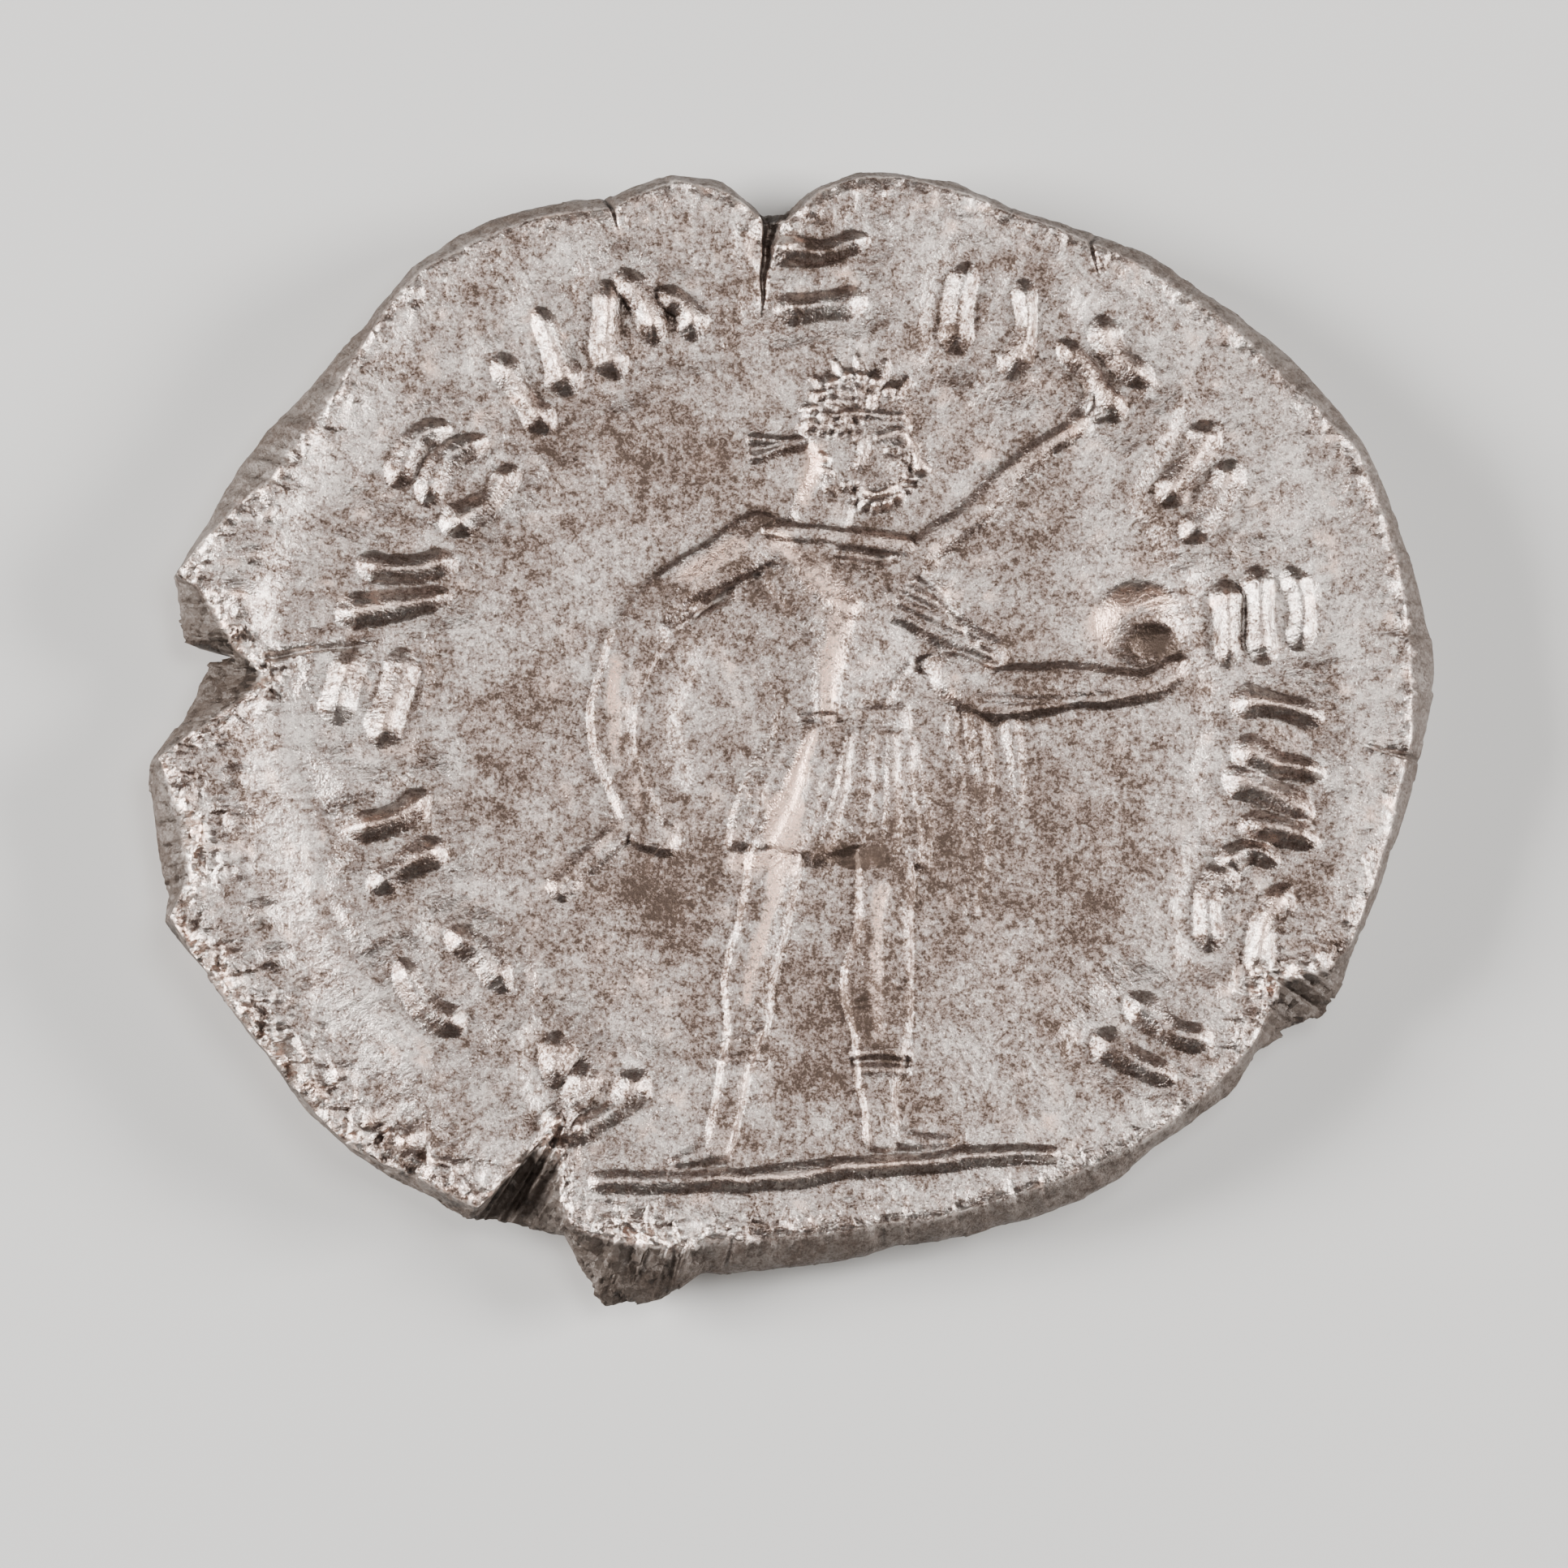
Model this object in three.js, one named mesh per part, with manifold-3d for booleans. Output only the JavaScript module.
// An antoninianus: a small struck coin of silver alloy, on a thin oval flan that split when it was hit.
// It lies with its reverse up, a standing figure with a globe. The obverse, a bust, is underneath.
// Millimetres, +Z up. The origin is at the bottom centre of the coin's box, +X runs to the figure's
// right as it is looked at, and +Y towards its head.
import * as THREE from "three";
import { mergeVertices } from "three/addons/utils/BufferGeometryUtils.js";
import Module from "manifold-3d";

const wasm = await Module();
wasm.setup();

// Heights of the two fields and how far they dish towards the rim
const REVERSE_FIELD = 1.4;
const REVERSE_DISH = 0.14;
const OBVERSE_FIELD = 0.3;
const OBVERSE_DISH = 0.16;
const FLAN_RADIUS = 10.6;
// Wear has cut the highest relief flat: at this height above, and at zero underneath
const WORN_TOP = 1.76;

// The dies' own circles: the reverse die sat a little to the right of the flan's middle
const REVERSE_DIE = { x: 0.5, y: 0.05, legend: 7.95, border: 10.6 };
const OBVERSE_DIE = { x: -0.3, y: 0.2, legend: 8.3, border: 10.3 };
const BORDER_SWELL = 0.07;
const BORDER_SWELL_WIDTH = 0.5;

// The flan's rim: angle in degrees, radius of the upper lip, and radius of the belt below it.
// Between two rows both radii change evenly with the angle.
const RIM = [
  [0, 10.8, 11.17],
  [7, 10.95, 11.47],
  [14, 11.05, 11.48],
  [28, 11.15, 11.5],
  [35, 10.8, 11.3],
  [50, 10.45, 10.85],
  [67, 10.0, 10.25],
  [74, 10.05, 10.3],
  [80, 10.0, 10.25],
  [84, 9.9, 10.12],
  [88, 9.6, 9.75],
  [91.5, 9.05, 9.25],
  [94, 9.0, 9.3],
  [98, 9.6, 9.95],
  [103, 9.95, 10.15],
  [110, 9.75, 10.05],
  [118, 10.1, 10.45],
  [130, 10.4, 10.65],
  [138, 10.25, 10.4],
  [147, 10.0, 10.5],
  [156, 10.25, 10.8],
  [162, 10.8, 11.0],
  [167.5, 11.3, 11.3],
  // the left split, with its two torn faces leaning out below the lip
  [168.5, 10.75, 11.2],
  [173, 10.05, 10.85],
  [173.6, 9.95, 9.98],
  [174.4, 9.7, 10.28],
  [175.5, 9.5, 10.45],
  [178, 9.7, 10.65],
  [181, 10.45, 11.0],
  [184, 11.35, 11.4],
  [190, 10.95, 11.45],
  [195, 11.1, 11.5],
  [198, 11.65, 11.6],
  [203, 11.4, 11.3],
  [212, 11.1, 11.05],
  [224, 10.95, 10.9],
  [230, 10.5, 10.6],
  [236.5, 10.3, 10.35],
  // the lower split, open on its left and torn on its right
  [237.4, 9.5, 10.25],
  [238.2, 8.75, 10.15],
  [241, 8.65, 10.05],
  [243.5, 9.4, 9.85],
  [245.5, 9.7, 9.8],
  // the lump that the blow squeezed out of the edge
  [249, 9.65, 10.35],
  [251.8, 9.6, 10.64],
  [256.5, 9.5, 10.35],
  [260, 9.25, 9.75],
  [266, 9.05, 9.5],
  [280, 8.85, 9.25],
  [292, 8.95, 9.4],
  [302, 9.15, 9.6],
  [312, 9.45, 9.65],
  [322, 9.6, 9.9],
  [326, 9.7, 9.85],
  // the chip on the right
  [330, 9.6, 10.1],
  [333, 9.5, 10.45],
  [336.5, 10.2, 10.6],
  [340, 10.4, 10.55],
  [350, 10.55, 10.8],
];
const WIDEST_SPOKE_GAP = 8;
const REVERSE_RINGS = [0.87, 0.94];
const OBVERSE_RINGS = [0.88];

// The wall, from the lip down: share of the way out to the belt, and share of the way down
const WALL = [
  { out: 0, down: 0.05 },
  { out: 0.55, down: 0.3 },
  { out: 1, down: 0.68 },
];
const HEEL_INSET = 0.3;

const SINK = 0.16; // how far each piece of relief goes into the field it stands on
const UP = 1;
const DOWN = -1;

const degrees = THREE.MathUtils.degToRad;
const mix = THREE.MathUtils.lerp;

// Lip and belt radius of the rim at an angle in degrees
function rimAt(angle) {
  const turn = ((angle % 360) + 360) % 360;
  let next = RIM.findIndex((row) => row[0] > turn);
  if (next < 0) next = RIM.length;
  const before = RIM[next - 1];
  const after = next < RIM.length ? RIM[next] : [360, RIM[0][1], RIM[0][2]];
  const share = (turn - before[0]) / (after[0] - before[0]);
  return { lip: mix(before[1], after[1], share), belt: mix(before[2], after[2], share) };
}

// A soft ridge under the ring of dots, where the die's border pushed the metal up
function swell(x, y, die) {
  const off = (Math.hypot(x - die.x, y - die.y) - die.border) / BORDER_SWELL_WIDTH;
  return BORDER_SWELL * Math.exp(-off * off);
}

function reverseField(x, y) {
  const share = Math.hypot(x, y) / FLAN_RADIUS;
  return REVERSE_FIELD + REVERSE_DISH * share + swell(x, y, REVERSE_DIE);
}

function obverseField(x, y) {
  const share = Math.hypot(x, y) / FLAN_RADIUS;
  return OBVERSE_FIELD + OBVERSE_DISH * share;
}

const fieldOn = { [UP]: reverseField, [DOWN]: obverseField };

// Spokes at every row of the rim, with even ones between rows that lie far apart
function spokeAngles() {
  const angles = [];
  RIM.forEach(([start], i) => {
    const end = i + 1 < RIM.length ? RIM[i + 1][0] : 360;
    const steps = Math.ceil((end - start) / WIDEST_SPOKE_GAP);
    for (let k = 0; k < steps; k++) angles.push(mix(start, end, k / steps));
  });
  return angles;
}

// Joins rings of points into one closed skin, with a fan over each end
function skin(rings, firstTip, lastTip) {
  const points = rings.flat();
  const size = rings[0].length;
  const faces = [];
  for (let r = 0; r + 1 < rings.length; r++)
    for (let k = 0; k < size; k++) {
      const a = r * size + k;
      const b = r * size + ((k + 1) % size);
      faces.push(a, b, a + size, b, b + size, a + size);
    }
  const last = (rings.length - 1) * size;
  points.push(firstTip, lastTip);
  for (let k = 0; k < size; k++) {
    const after = (k + 1) % size;
    faces.push(points.length - 2, after, k);
    faces.push(points.length - 1, last + k, last + after);
  }
  return solidOf(new THREE.BufferGeometry().setFromPoints(points).setIndex(faces));
}

// A closed skin of triangles as a solid that can be joined and cut
function solidOf(geometry) {
  const bare = geometry.clone();
  bare.deleteAttribute("normal");
  bare.deleteAttribute("uv");
  const merged = mergeVertices(bare, 1e-4);
  const at = new THREE.Vector3();
  const corners = [0, 1, 2].map(() => new THREE.Vector3());
  const index = merged.index.array;
  let volume = 0;
  for (let i = 0; i < index.length; i += 3) {
    corners.forEach((c, k) => c.fromBufferAttribute(merged.attributes.position, index[i + k]));
    volume += corners[0].dot(at.crossVectors(corners[1], corners[2]));
  }
  const triVerts = new Uint32Array(volume < 0 ? [...index].reverse() : index);
  return new wasm.Manifold(
    new wasm.Mesh({ numProp: 3, vertProperties: merged.attributes.position.array, triVerts }),
  );
}

// The blank between the two fields, with the torn and bulging wall round it
function flan() {
  const angles = spokeAngles();
  const ring = (radiusAt, heightAt) =>
    angles.map((angle) => {
      const radius = radiusAt(rimAt(angle));
      const x = radius * Math.cos(degrees(angle));
      const y = radius * Math.sin(degrees(angle));
      return new THREE.Vector3(x, y, heightAt(x, y));
    });
  const rings = REVERSE_RINGS.map((share) => ring((rim) => rim.lip * share, reverseField));
  for (const { out, down } of WALL)
    rings.push(
      ring(
        (rim) => mix(rim.lip, rim.belt, out),
        (x, y) => mix(reverseField(x, y), obverseField(x, y), down),
      ),
    );
  rings.push(ring((rim) => rim.belt - HEEL_INSET, obverseField));
  for (const share of OBVERSE_RINGS)
    rings.push(ring((rim) => (rim.belt - HEEL_INSET) * share, obverseField));
  const top = new THREE.Vector3(0, 0, reverseField(0, 0));
  const bottom = new THREE.Vector3(0, 0, obverseField(0, 0));
  return skin(rings, top, bottom);
}

const middle = (points) =>
  points.reduce((sum, p) => sum.add(p), new THREE.Vector3()).divideScalar(points.length);

// A raised ridge along a path of stations { x, y, half, height }. Its section is a roof with a narrow
// crest, or a rounded back with shoulders, given as [across, up]. Its ends slope down into the field.
const ROOF = [[-0.22, 1], [0.22, 1]];
const ROUND = [[-0.78, 0.62], [-0.26, 1], [0.26, 1], [0.78, 0.62]];

function ridge(stations, side = UP, section = ROOF) {
  const field = fieldOn[side];
  const last = stations.length - 1;
  const [edgeAcross, edgeUp] = section[section.length - 1];
  const rings = stations.map(({ x, y, half, height }, i) => {
    const ahead = stations[Math.min(i + 1, last)];
    const behind = stations[Math.max(i - 1, 0)];
    const along = new THREE.Vector2(ahead.x - behind.x, ahead.y - behind.y).normalize();
    const end = i === 0 ? -1 : i === last ? 1 : 0;
    const sunk = -SINK / height;
    const flare = 1 - ((1 - edgeAcross) / edgeUp) * sunk;
    return [[-flare, sunk], ...section, [flare, sunk]].map(([across, up]) => {
      const push = end * half * (1 - up);
      const px = x + push * along.x - across * half * along.y;
      const py = y + push * along.y + across * half * along.x;
      return new THREE.Vector3(px, py, field(px, py) + side * up * height);
    });
  });
  return skin(rings, middle(rings[0]), middle(rings[last]));
}

// Shorthand for a path whose width and height run evenly from one end to the other
function run(points, halfStart, halfEnd, heightStart, heightEnd = heightStart) {
  const last = points.length - 1;
  return points.map(([x, y], i) => ({
    x,
    y,
    half: mix(halfStart, halfEnd, i / last),
    height: mix(heightStart, heightEnd, i / last),
  }));
}

// A low oval swelling that stands on a field
function dome(x, y, across, along, height, { turn = 0, side = UP, sides = 12 } = {}) {
  const ball = new THREE.SphereGeometry(1, sides, 6).rotateX(Math.PI / 2);
  ball.scale(across, along, height).rotateZ(degrees(turn));
  ball.translate(x, y, fieldOn[side](x, y));
  return solidOf(ball);
}

// The strokes that stand where an inscription ran: pairs and threes that spell nothing. Each stroke is
// given across and along its place, in units of the row's height.
const STROKE_HEIGHT = 0.2;
const ROW_HEIGHT = 1.6;
const STROKE_GROUPS = [
  [[-0.24, -0.42, -0.12, 0.42], [0.16, -0.36, 0.28, 0.46]],
  [[-0.3, -0.27, 0.3, -0.36], [-0.28, 0.02, 0.28, -0.04], [-0.24, 0.34, 0.3, 0.28]],
  [[-0.24, 0.5, -0.02, -0.34], [0.14, 0.42, 0.34, -0.42]],
  [[-0.34, 0.26, 0.3, 0.42], [-0.3, -0.26, 0.34, -0.1]],
];
// Where the groups stand round each die, as angles in degrees
const REVERSE_PLACES = [236, 215, 196, 178, 163, 147, 130, 115, 91, 69, 53, 34, 15, 0, 348, 336, 316];
const OBVERSE_PLACES = [232, 212, 193, 173, 152, 131, 49, 30, 9, -11, -30, -48];

function strokeRow(die, side, places) {
  const strokes = [];
  places.forEach((place, i) => {
    const angle = degrees(side === UP ? place : 180 - place);
    const out = new THREE.Vector2(Math.cos(angle), Math.sin(angle));
    const across = new THREE.Vector2(out.y, -out.x);
    const at = (t, n) => [
      die.x + out.x * (die.legend + n * ROW_HEIGHT) + across.x * t * ROW_HEIGHT,
      die.y + out.y * (die.legend + n * ROW_HEIGHT) + across.y * t * ROW_HEIGHT,
    ];
    for (const [t0, n0, t1, n1] of STROKE_GROUPS[i % STROKE_GROUPS.length])
      strokes.push(ridge(run([at(t0, n0), at(t1, n1)], 0.28, 0.18, STROKE_HEIGHT), side));
  });
  return strokes;
}

// The ring of dots. A dot is struck only where the flan reached under it.
const DOT_PITCH = 1.1;
const DOT_RADIUS = 0.3;
const DOT_HEIGHT = 0.15;
const DOT_MARGIN = 0.34;

function dotBorder(die, side) {
  const count = Math.round((2 * Math.PI * die.border) / DOT_PITCH);
  const dots = [];
  for (let i = 0; i < count; i++) {
    const angle = (2 * Math.PI * i) / count;
    const x = die.x + die.border * Math.cos(angle);
    const y = die.y + die.border * Math.sin(angle);
    const { lip, belt } = rimAt(THREE.MathUtils.radToDeg(Math.atan2(y, x)));
    const reach = side === UP ? lip : belt - HEEL_INSET;
    if (Math.hypot(x, y) + DOT_MARGIN > reach) continue;
    const dot = new THREE.CylinderGeometry(DOT_RADIUS * 0.45, DOT_RADIUS, DOT_HEIGHT + SINK, 5);
    dot.rotateX(side === UP ? Math.PI / 2 : -Math.PI / 2);
    dot.translate(x, y, fieldOn[side](x, y) + (side * (DOT_HEIGHT - SINK)) / 2);
    dots.push(solidOf(dot));
  }
  return dots;
}

// The standing figure, with its weight on both feet, seen from the front with its head turned
const HEAD = { x: 1.08, y: 5.2, across: 0.95, along: 1.15, height: 0.28 };
const GROUND_LINE = [[-3.6, -8.1], [-1.4, -8.0], [0.9, -7.8], [3.2, -7.5], [4.4, -7.44]];

function head() {
  const { x, y, across, along, height } = HEAD;
  const pieces = [
    dome(x, y, across, along, height, { turn: -8 }),
    dome(x + 0.4, y - 0.95, 0.5, 0.42, height * 0.85, { sides: 8 }), // bearded jaw
    dome(x + 0.9, y - 0.1, 0.19, 0.16, 0.16, { sides: 6 }), // nose
    ridge(run([[x - 0.6, y - 0.8], [x - 0.85, y - 1.7]], 0.5, 0.6, 0.22), UP, ROUND), // neck
  ];
  // a band across the hair, and its ties behind
  const band = [[x - 0.85, y + 0.15], [x + 0.1, y + 0.6], [x + 0.75, y + 0.5]];
  pieces.push(ridge(run(band, 0.16, 0.14, 0.34)));
  for (const drop of [-0.1, -0.4])
    pieces.push(ridge(run([[x - 0.95, y - 0.1], [x - 1.95, y + drop]], 0.12, 0.1, 0.15)));
  // short points of the crown
  for (let i = 0; i < 4; i++) {
    const angle = degrees(mix(130, 50, i / 3));
    const base = [x + 0.85 * Math.cos(angle), y + 1.0 * Math.sin(angle)];
    const tip = [x + 1.2 * Math.cos(angle), y + 1.42 * Math.sin(angle)];
    pieces.push(ridge(run([base, tip], 0.15, 0.08, 0.24, 0.15)));
  }
  return pieces;
}

// The arm with its hand on the hip, the forearm that holds the globe out, and the arm raised behind
const AKIMBO = [
  [-0.7, 3.25], [-1.75, 2.65], [-2.75, 1.75], [-3.27, 0.6], [-3.3, -0.5], [-2.95, -1.4], [-2.7, -2.05],
];
const FOREARM = [[2.75, 0.95], [3.35, 0.66], [4.05, 0.7], [4.8, 0.84], [5.6, 0.85], [6.2, 0.9], [6.6, 1.15]];
const RAISED = [[1.6, 2.65], [2.35, 3.28], [3.0, 3.8], [3.65, 4.5], [4.3, 5.08], [4.85, 5.38]];

function arms() {
  return [
    ridge(run(AKIMBO, 0.5, 0.34, 0.26, 0.22), UP, ROUND),
    ridge(run([[-3.05, -1.8], [-4.3, -2.95]], 0.25, 0.24, 0.18), UP, ROUND), // sheathed short sword
    ridge(run(FOREARM, 0.52, 0.26, 0.28, 0.22), UP, ROUND),
    dome(6.02, 2.0, 0.82, 0.8, 0.32), // globe
    ridge(run(RAISED, 0.34, 0.2, 0.22, 0.18), UP, ROUND),
    dome(5.0, 5.55, 0.3, 0.26, 0.18, { sides: 8 }), // open hand
  ];
}

function body() {
  const chest = [
    { x: 0.65, y: 3.15, half: 1.35, height: 0.24 },
    { x: 0.55, y: 2.0, half: 1.35, height: 0.26 },
    { x: 0.45, y: 0.9, half: 1.12, height: 0.26 },
    { x: 0.5, y: 0.1, half: 1.0, height: 0.24 },
  ];
  return [
    ridge(chest, UP, ROUND),
    ridge(run([[-0.5, 3.42], [0.6, 3.36], [1.8, 3.1]], 0.18, 0.2, 0.28)), // neck edge of the cloak
    ridge(run([[0.1, 2.92], [1.5, 2.74]], 0.12, 0.12, 0.3)),
    ridge(run([[-0.7, 3.15], [-0.13, 2.72], [0.33, 2.2], [0.9, 1.92]], 0.22, 0.18, 0.34)), // strap
    ridge(run([[0.56, 1.8], [0.36, 1.18], [0.33, 0.2]], 0.22, 0.2, 0.34)),
    ridge(run([[-0.55, 0.03], [0.45, 0.1], [2.05, 0.15]], 0.16, 0.16, 0.32)), // belt
    ridge(run([[1.75, 2.3], [2.6, 1.75], [3.3, 1.3]], 0.42, 0.34, 0.24, 0.2), UP, ROUND), // sleeve
    ridge(run([[1.9, 2.85], [2.75, 2.05]], 0.2, 0.14, 0.18)),
    ridge(run([[3.15, 0.3], [3.2, -1.7], [3.0, -3.1]], 0.24, 0.16, 0.15)), // cloak below the arm
    ridge(run([[3.72, 0.1], [3.8, -1.4]], 0.22, 0.16, 0.13)),
  ];
}

// The skirt of the tunic: pleats that fan from the belt to the hem
const PLEATS = 6;
function skirt() {
  const pieces = [];
  for (let i = 0; i < PLEATS; i++) {
    const share = i / (PLEATS - 1);
    const waist = [mix(-0.2, 1.85, share), -0.1];
    const hem = [mix(-1.4, 2.05, share), mix(-2.5, -2.2, share)];
    pieces.push(ridge(run([waist, hem], 0.24, 0.36, 0.24, 0.2)));
  }
  return pieces;
}

// Each leg from the hem to the ankle: x, y and half width
const LEFT_LEG = [
  [-0.45, -2.4, 0.48], [-0.65, -3.35, 0.48], [-0.93, -4.4, 0.46], [-1.0, -5.1, 0.42], [-1.15, -5.9, 0.3],
  [-1.33, -6.9, 0.27], [-1.45, -7.5, 0.27],
];
const RIGHT_LEG = [
  [1.46, -2.35, 0.5], [1.44, -3.6, 0.54], [1.33, -4.5, 0.6], [1.39, -5.2, 0.53], [1.37, -5.95, 0.43],
  [1.35, -6.8, 0.32], [1.35, -7.2, 0.34],
];

function legs() {
  const limb = (path) => ridge(path.map(([x, y, half]) => ({ x, y, half, height: 0.25 })), UP, ROUND);
  return [
    limb(LEFT_LEG),
    limb(RIGHT_LEG),
    ridge(run([[-1.42, -7.42], [-2.15, -7.7]], 0.24, 0.18, 0.18)), // left foot
    ridge(run([[1.35, -7.1], [2.45, -7.25]], 0.27, 0.15, 0.18)), // right foot
    ridge(run([[0.9, -5.93], [1.88, -5.88]], 0.13, 0.13, 0.3)), // boot cuffs
    ridge(run([[-1.5, -5.75], [-0.78, -5.65]], 0.11, 0.11, 0.28)),
  ];
}

function reverse() {
  return [
    ...head(),
    ...arms(),
    ...body(),
    ...skirt(),
    ...legs(),
    ridge(run(GROUND_LINE, 0.16, 0.14, 0.2)),
    ...strokeRow(REVERSE_DIE, UP, REVERSE_PLACES),
    ...dotBorder(REVERSE_DIE, UP),
  ];
}

// The bust underneath, plainer and more worn. It is drawn as it looks from below, facing right, so its
// own x is turned round when it is placed. The crests of its relief are what the coin lies on.
const BUST_LOW = 0.24;
const BUST_CREST = 0.38;

function obverse() {
  const below = (points) => points.map(([x, y]) => [-x, y]);
  const line = (points, from, to, height = BUST_CREST) =>
    ridge(run(below(points), from, to, height), DOWN);
  const swelling = (x, y, across, along, height, turn = 0) =>
    dome(-x, y, across, along, height, { turn: -turn, side: DOWN });
  const pieces = [
    swelling(-0.5, 2.3, 2.6, 2.6, BUST_LOW), // back of the head
    swelling(0.75, 1.35, 1.6, 2.1, BUST_LOW), // face
    swelling(1.25, -0.7, 0.85, 0.6, BUST_LOW), // chin
    swelling(-0.4, -4.8, 4.7, 2.0, BUST_LOW), // shoulders
    swelling(-0.65, 0.95, 0.34, 0.52, BUST_CREST), // ear
    ridge(run(below([[-0.5, 0.2], [-0.7, -3.3]]), 1.45, 1.9, BUST_CREST), DOWN, ROUND), // neck
    line([[2.12, 2.05], [2.55, 1.15]], 0.2, 0.28, BUST_LOW), // nose
    line([[1.2, 2.05], [1.95, 2.15]], 0.14, 0.12), // brow
    line([[-0.7, -0.2], [0.4, -0.95], [1.3, -1.0]], 0.22, 0.2), // edge of the short beard
    line([[-2.9, 1.8], [-1.5, 3.3], [0.4, 3.75], [1.7, 3.1]], 0.2, 0.2), // band of the crown
  ];
  // locks of hair, from the band down to the neck
  for (let i = 0; i < 4; i++) {
    const start = [mix(-2.1, 0.2, i / 3), mix(1.8, 2.9, i / 3)];
    pieces.push(line([start, [start[0] + 0.15, start[1] - 1.2]], 0.17, 0.14));
  }
  // the cloak, in folds that gather at the near shoulder
  for (let i = 0; i < 4; i++) {
    const start = [mix(-4.2, -1.2, i / 3), mix(-5.2, -5.6, i / 3)];
    pieces.push(line([start, [mix(-1.4, 3.2, i / 3), mix(-3.2, -4.6, i / 3)]], 0.26, 0.18));
  }
  // five rays of the crown, fanned from the middle of the head
  for (let i = 0; i < 5; i++) {
    const angle = degrees(mix(142, 62, i / 4));
    const reach = (length) => [-0.5 + length * Math.cos(angle), 2.2 + length * Math.sin(angle)];
    pieces.push(line([reach(2.3), reach(4.0)], 0.36, 0.1, BUST_LOW));
  }
  // the crown's two ties
  for (const drop of [0.4, 1.1])
    pieces.push(line([[-2.9, 1.4], [-4.0, 1.4 - drop]], 0.18, 0.13, BUST_LOW));
  return [
    ...pieces,
    ...strokeRow(OBVERSE_DIE, DOWN, OBVERSE_PLACES),
    ...dotBorder(OBVERSE_DIE, DOWN),
  ];
}

// Thin cracks that run in from the edge, as sharp wedges pushed down through the reverse
const CRACKS = [
  { path: [[-0.5, 9.6], [-0.62, 8.4], [-0.66, 7.4]], half: 0.13, depth: 0.5 },
  { path: [[-9.9, 0.95], [-8.6, 1.2]], half: 0.12, depth: 0.45 },
  { path: [[11.4, -0.3], [10.2, -0.15]], half: 0.13, depth: 0.4 },
  { path: [[5.1, 9.3], [5.35, 8.2]], half: 0.1, depth: 0.35 },
];

function crack({ path, half, depth }) {
  const top = 1;
  const wedge = path.map(([x, y], i) => {
    const ahead = path[Math.min(i + 1, path.length - 1)];
    const behind = path[Math.max(i - 1, 0)];
    const along = new THREE.Vector2(ahead[0] - behind[0], ahead[1] - behind[1]).normalize();
    const fade = i === path.length - 1 ? 0.3 : 1;
    const field = reverseField(x, y);
    const wide = half * fade * (1 + top / depth);
    return [
      new THREE.Vector3(x - wide * along.y, y + wide * along.x, field + top),
      new THREE.Vector3(x + wide * along.y, y - wide * along.x, field + top),
      new THREE.Vector3(x, y, field - depth * fade),
    ];
  });
  return skin(wedge, middle(wedge[0]), middle(wedge[wedge.length - 1]));
}

// Everything that stood above the worn level, and below the one underneath, has been rubbed away
function wornSlab() {
  const reach = 3 * FLAN_RADIUS;
  return solidOf(new THREE.BoxGeometry(reach, reach, WORN_TOP).translate(0, 0, WORN_TOP / 2));
}

function strike() {
  let coin = flan();
  for (const piece of [...reverse(), ...obverse()]) coin = coin.add(piece);
  for (const split of CRACKS) coin = coin.subtract(crack(split));
  return coin.intersect(wornSlab());
}

// The struck solid as a mesh, moved so that the origin is at the bottom centre of its box
function coinMesh() {
  const { vertProperties, triVerts } = strike().getMesh();
  const geometry = new THREE.BufferGeometry();
  geometry.setAttribute("position", new THREE.BufferAttribute(vertProperties, 3));
  geometry.setIndex(new THREE.BufferAttribute(triVerts, 1));
  geometry.computeBoundingBox();
  const { min, max } = geometry.boundingBox;
  geometry.translate(-(min.x + max.x) / 2, -(min.y + max.y) / 2, -min.z);
  geometry.computeVertexNormals();
  const silver = new THREE.MeshStandardMaterial({
    color: new THREE.Color().setRGB(0.62, 0.58, 0.55, THREE.SRGBColorSpace),
    roughness: 0.45,
    metalness: 0.85,
    flatShading: true,
  });
  const mesh = new THREE.Mesh(geometry, silver);
  mesh.name = "coin";
  return mesh;
}

const antoninianus = new THREE.Group();
antoninianus.add(coinMesh());
export default antoninianus;
